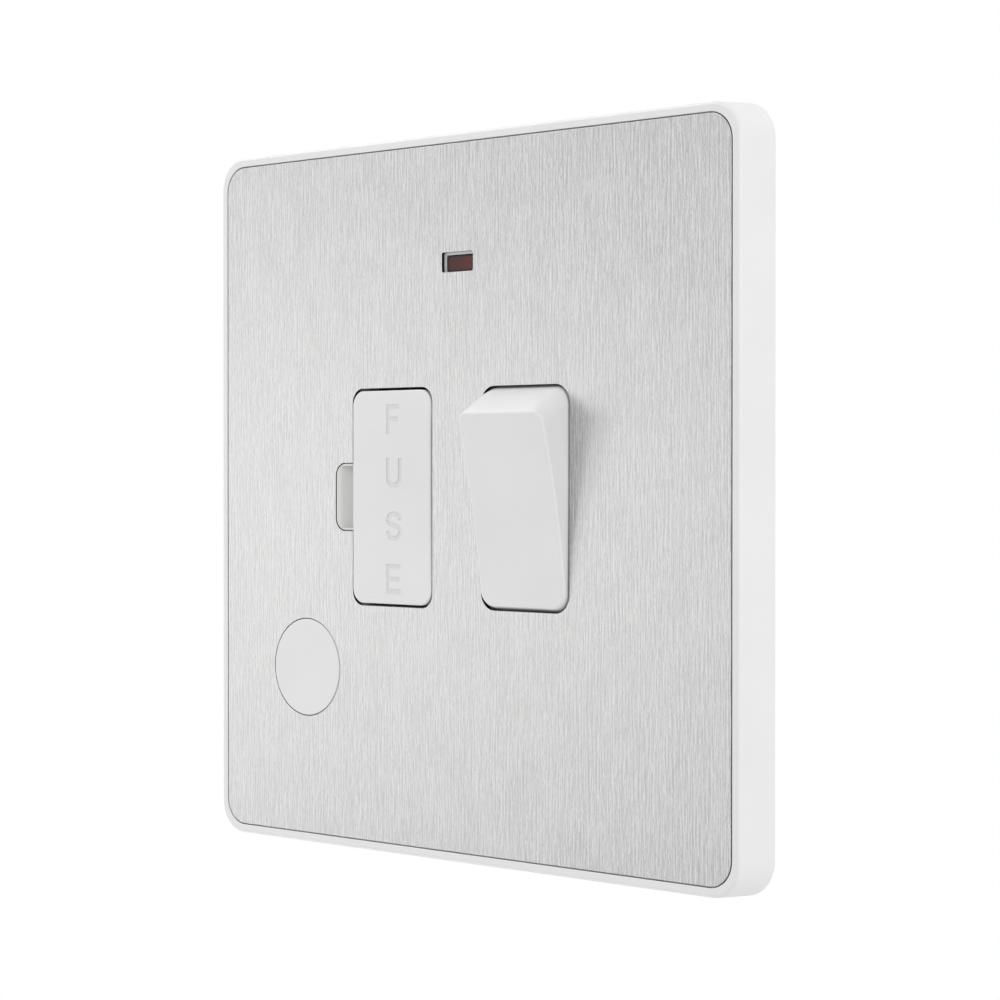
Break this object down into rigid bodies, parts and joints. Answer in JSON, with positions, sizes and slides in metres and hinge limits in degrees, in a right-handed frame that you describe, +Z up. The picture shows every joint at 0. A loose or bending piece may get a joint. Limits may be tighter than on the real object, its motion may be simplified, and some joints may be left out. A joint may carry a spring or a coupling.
{
  "type": "fused spur unit",
  "caption": "Flush fused spur unit: white clip-on plate with brushed steel insert, rocker switch, pull-out fuse carrier, capped flex outlet and neon window.",
  "frame": {"origin": "on the wall plane, midway between the two fixing screws", "axes": "+X to the right seen from the front, +Y into the wall, +Z up"},
  "size_m": [0.0958, 0.0346, 0.0958],
  "materials": {
    "rim_white": "satin moulded",
    "insert_steel": "brushed, grain along Z",
    "lens_red": "tinted clear",
    "frame_white": "moulded",
    "housing_white": "moulded",
    "control_white": "satin moulded",
    "plated_steel": "zinc plated",
    "brass": "machined",
    "copper_strip": "pressed",
    "plunger_brass": "turned",
    "spring_steel": "drawn wire",
    "fuse_ceramic": "matt",
    "cap_metal": "nickel plated",
    "lamp_glass": "clear",
    "resistor_body": "lacquered"
  },
  "bodies": {
    "module": {"mounting_frame": "frame_white", "rear_housing": "housing_white", "fixing_screws": "plated_steel", "housing_screws": "plated_steel", "terminal_screws": "plated_steel", "line_in_terminal": "brass", "neutral_in_terminal": "brass", "line_out_terminal": "brass", "neutral_out_terminal": "brass", "earth_terminal": "brass", "fixed_contact_line": "brass", "fixed_contact_neutral": "brass", "line_pivot_bar": "brass", "neutral_pivot_bar": "brass", "fuse_clip_supply": "brass", "fuse_clip_load": "brass", "flex_clamp_bar": "frame_white", "clamp_screws": "plated_steel", "neon_lamp": "lamp_glass", "lamp_resistor": "resistor_body"},
    "fascia": {"fascia_frame": "rim_white", "steel_insert": "insert_steel", "indicator_lens": "lens_red"},
    "rocker": {"rocker": "control_white", "rocker_plungers": "plunger_brass", "plunger_springs": "spring_steel"},
    "see_saw": {"moving_contact_line": "copper_strip", "moving_contact_neutral": "copper_strip"},
    "fuse_carrier": {"fuse_carrier": "control_white", "fuse_barrel": "fuse_ceramic", "fuse_caps": "cap_metal"},
    "flex_cap": {"flex_cap": "control_white"}
  },
  "joints": [
    {"name": "rocker_hinge", "type": "hinge", "parent": "module", "child": "rocker", "pos_m": [0.01218, -0.00082, 0], "axis": [-1, 0, 0], "range_deg": [0, 20.7]},
    {"name": "see_saw_hinge", "type": "hinge", "parent": "module", "child": "see_saw", "pos_m": [0.01218, 0.0109, 0], "axis": [1, 0, 0], "range_deg": [0, 24]},
    {"name": "carrier_slide", "type": "slide", "parent": "module", "child": "fuse_carrier", "axis": [0, -1, 0], "range_m": [0, 0.017]},
    {"name": "cap_slide", "type": "slide", "parent": "module", "child": "flex_cap", "axis": [0, -1, 0], "range_m": [0, 0.012]},
    {"name": "fascia_slide", "type": "slide", "parent": "module", "child": "fascia", "axis": [0, -1, 0], "range_m": [0, 0.025]}
  ],
  "couplings": [
    {"joint": "see_saw_hinge", "follows": "rocker_hinge", "ratio": 1.159}
  ]
}
